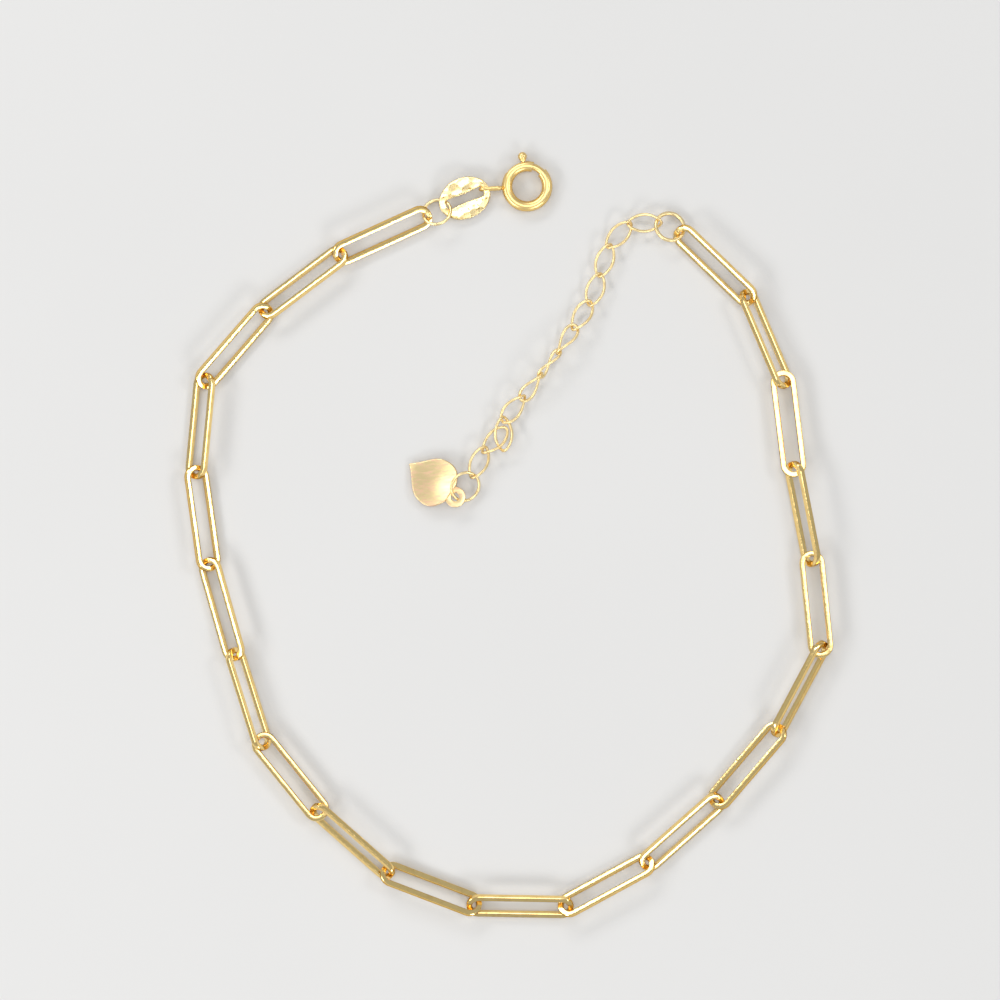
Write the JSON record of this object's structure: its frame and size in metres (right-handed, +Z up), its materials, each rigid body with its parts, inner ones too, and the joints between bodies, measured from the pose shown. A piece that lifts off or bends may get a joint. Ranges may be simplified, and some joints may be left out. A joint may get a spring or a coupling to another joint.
{
  "type": "paperclip chain bracelet",
  "caption": "Bracelet of long paperclip links with a spring ring clasp, an oval plate, an extender chain and a heart tag, lying open and flat.",
  "frame": {"origin": "centre of the bounding box on the surface that the bracelet lies on", "axes": "+Z up from the surface; +Y towards the clasp end, along the longest extent; +X to the right as seen from above"},
  "size_m": [0.0646, 0.0764, 0.0024],
  "materials": {
    "paperclip_link_01": "polished square wire",
    "paperclip_link_02": "polished square wire",
    "paperclip_link_03": "polished square wire",
    "paperclip_link_04": "polished square wire",
    "paperclip_link_05": "polished square wire",
    "paperclip_link_06": "polished square wire",
    "paperclip_link_07": "polished square wire",
    "paperclip_link_08": "polished square wire",
    "paperclip_link_09": "polished square wire",
    "paperclip_link_10": "polished square wire",
    "paperclip_link_11": "polished square wire",
    "paperclip_link_12": "polished square wire",
    "paperclip_link_13": "polished square wire",
    "paperclip_link_14": "polished square wire",
    "paperclip_link_15": "polished square wire",
    "paperclip_link_16": "polished square wire",
    "paperclip_link_17": "polished square wire",
    "paperclip_link_18": "polished square wire",
    "paperclip_link_19": "polished square wire",
    "paperclip_link_20": "polished square wire",
    "extender_link_01": "polished round wire",
    "extender_link_02": "polished round wire",
    "extender_link_03": "polished round wire",
    "extender_link_04": "polished round wire",
    "extender_link_05": "polished round wire",
    "extender_link_06": "polished round wire",
    "extender_link_07": "polished round wire",
    "extender_link_08": "polished round wire",
    "extender_link_09": "polished round wire",
    "extender_link_10": "polished round wire",
    "extender_link_11": "polished round wire",
    "extender_link_12": "polished round wire",
    "jump_ring_a": "polished round wire",
    "oval_plate": "hammered and polished",
    "clasp_body": "satin polished",
    "clasp_bolt": "satin polished",
    "jump_ring_b": "polished round wire",
    "end_ring": "polished round wire",
    "heart_tag": "brushed and polished"
  },
  "bodies": {
    "bracelet": {"paperclip_link_01": "paperclip_link_01", "paperclip_link_02": "paperclip_link_02", "paperclip_link_03": "paperclip_link_03", "paperclip_link_04": "paperclip_link_04", "paperclip_link_05": "paperclip_link_05", "paperclip_link_06": "paperclip_link_06", "paperclip_link_07": "paperclip_link_07", "paperclip_link_08": "paperclip_link_08", "paperclip_link_09": "paperclip_link_09", "paperclip_link_10": "paperclip_link_10", "paperclip_link_11": "paperclip_link_11", "paperclip_link_12": "paperclip_link_12", "paperclip_link_13": "paperclip_link_13", "paperclip_link_14": "paperclip_link_14", "paperclip_link_15": "paperclip_link_15", "paperclip_link_16": "paperclip_link_16", "paperclip_link_17": "paperclip_link_17", "paperclip_link_18": "paperclip_link_18", "paperclip_link_19": "paperclip_link_19", "paperclip_link_20": "paperclip_link_20", "extender_link_01": "extender_link_01", "extender_link_02": "extender_link_02", "extender_link_03": "extender_link_03", "extender_link_04": "extender_link_04", "extender_link_05": "extender_link_05", "extender_link_06": "extender_link_06", "extender_link_07": "extender_link_07", "extender_link_08": "extender_link_08", "extender_link_09": "extender_link_09", "extender_link_10": "extender_link_10", "extender_link_11": "extender_link_11", "extender_link_12": "extender_link_12", "jump_ring_a": "jump_ring_a", "oval_plate": "oval_plate", "clasp_body": "clasp_body", "jump_ring_b": "jump_ring_b", "end_ring": "end_ring", "heart_tag": "heart_tag"},
    "clasp_bolt": {"clasp_bolt": "clasp_bolt"}
  },
  "joints": [
    {"name": "clasp_lever", "type": "hinge", "parent": "bracelet", "child": "clasp_bolt", "pos_m": [0.00181, 0.03479, 0.00065], "axis": [0, 0, 1], "range_deg": [0, 42], "stiffness_Nm_per_rad": 0.0002, "springref_deg": -5.73}
  ]
}
